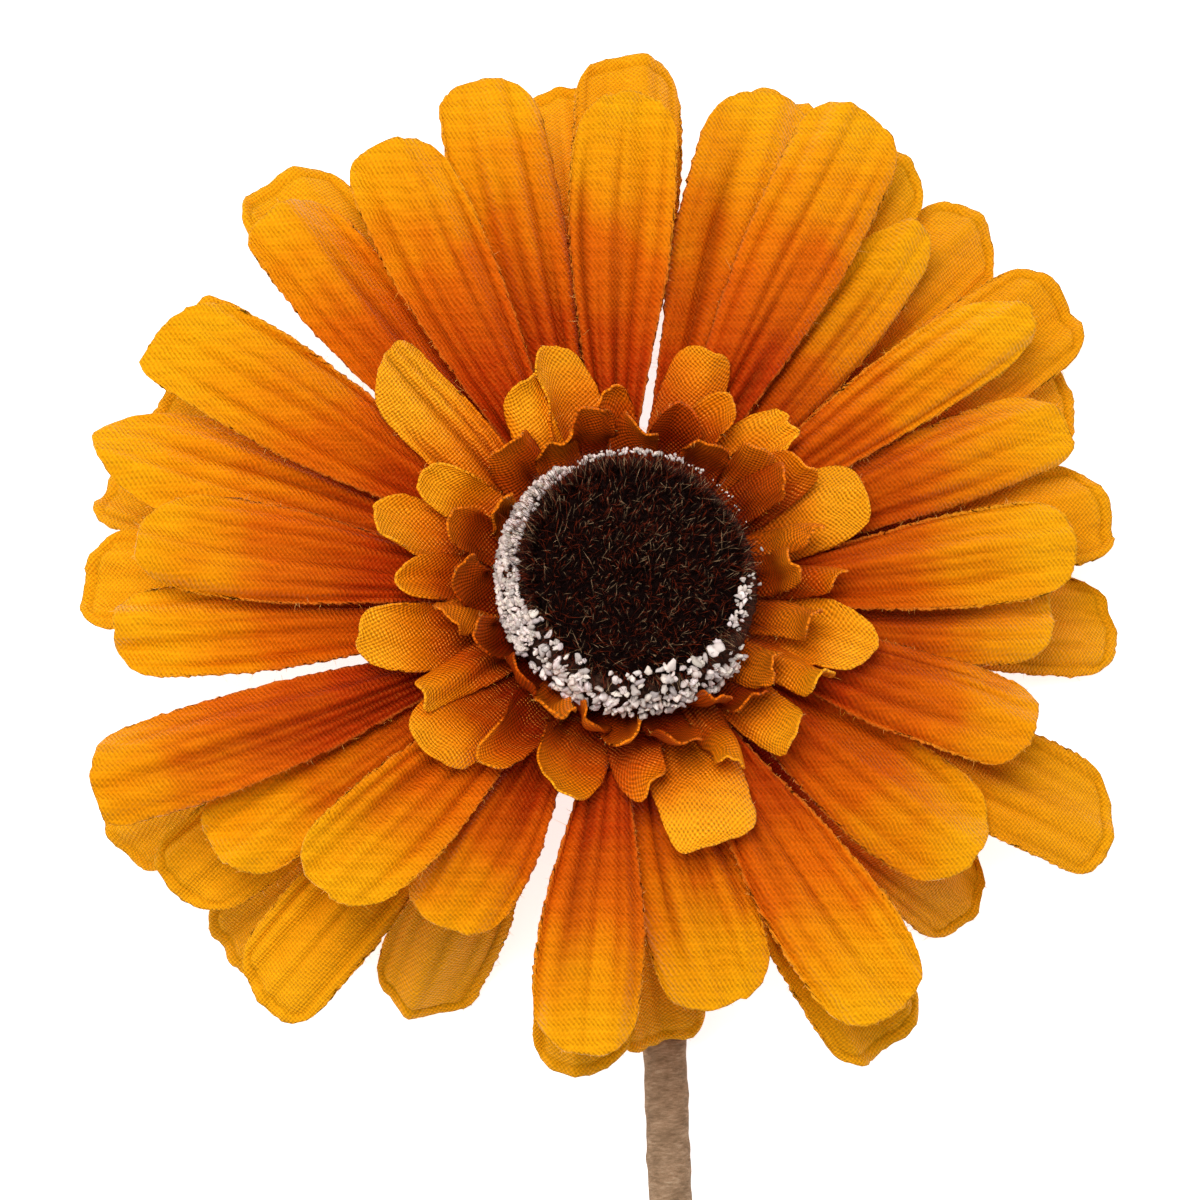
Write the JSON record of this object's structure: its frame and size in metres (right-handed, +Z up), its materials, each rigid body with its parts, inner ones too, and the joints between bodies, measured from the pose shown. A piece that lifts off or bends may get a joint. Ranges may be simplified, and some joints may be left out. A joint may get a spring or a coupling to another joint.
{
  "type": "artificial gerbera stem",
  "caption": "Artificial fabric gerbera lying down: layered stamped petals on a pin, a bristle centre with pale crumbs, a calyx cup and a paper-wrapped wire stem bent under the head.",
  "frame": {"origin": "middle of the underside of the part's box, on the surface it lies on", "axes": "+Y along the stem from its cut end towards the head, +Z up, the way the head faces"},
  "size_m": [0.1204, 0.45, 0.0476],
  "materials": {
    "rear_ray_cloth": "stamped woven polyester",
    "front_ray_cloth": "stamped woven polyester, redder at the root",
    "mid_cloth": "stamped woven polyester",
    "frill_cloth": "stamped woven polyester, red-brown",
    "pin_plastic": "moulded",
    "calyx_plastic": "moulded, satin",
    "backing_felt": "felt",
    "bristles": "cut pile",
    "crumbs": "foam crumbs",
    "wire": "drawn",
    "sheath_plastic": "extruded",
    "wrap_paper": "crepe paper tape"
  },
  "bodies": {
    "root": {"ray_layer_4": "rear_ray_cloth", "ray_layer_3": "rear_ray_cloth", "ray_layer_2": "front_ray_cloth", "ray_layer_1": "front_ray_cloth", "mid_layer_2": "mid_cloth", "mid_layer_1": "mid_cloth", "frill_layer_2": "frill_cloth", "frill_layer_1": "frill_cloth", "head_pin": "pin_plastic", "calyx_cup": "calyx_plastic", "pad_backing": "backing_felt", "bristle_pad": "bristles", "rim_crumbs": "crumbs", "stem_wire": "wire", "stem_sheath": "sheath_plastic", "stem_wrap": "wrap_paper"}
  },
  "joints": []
}
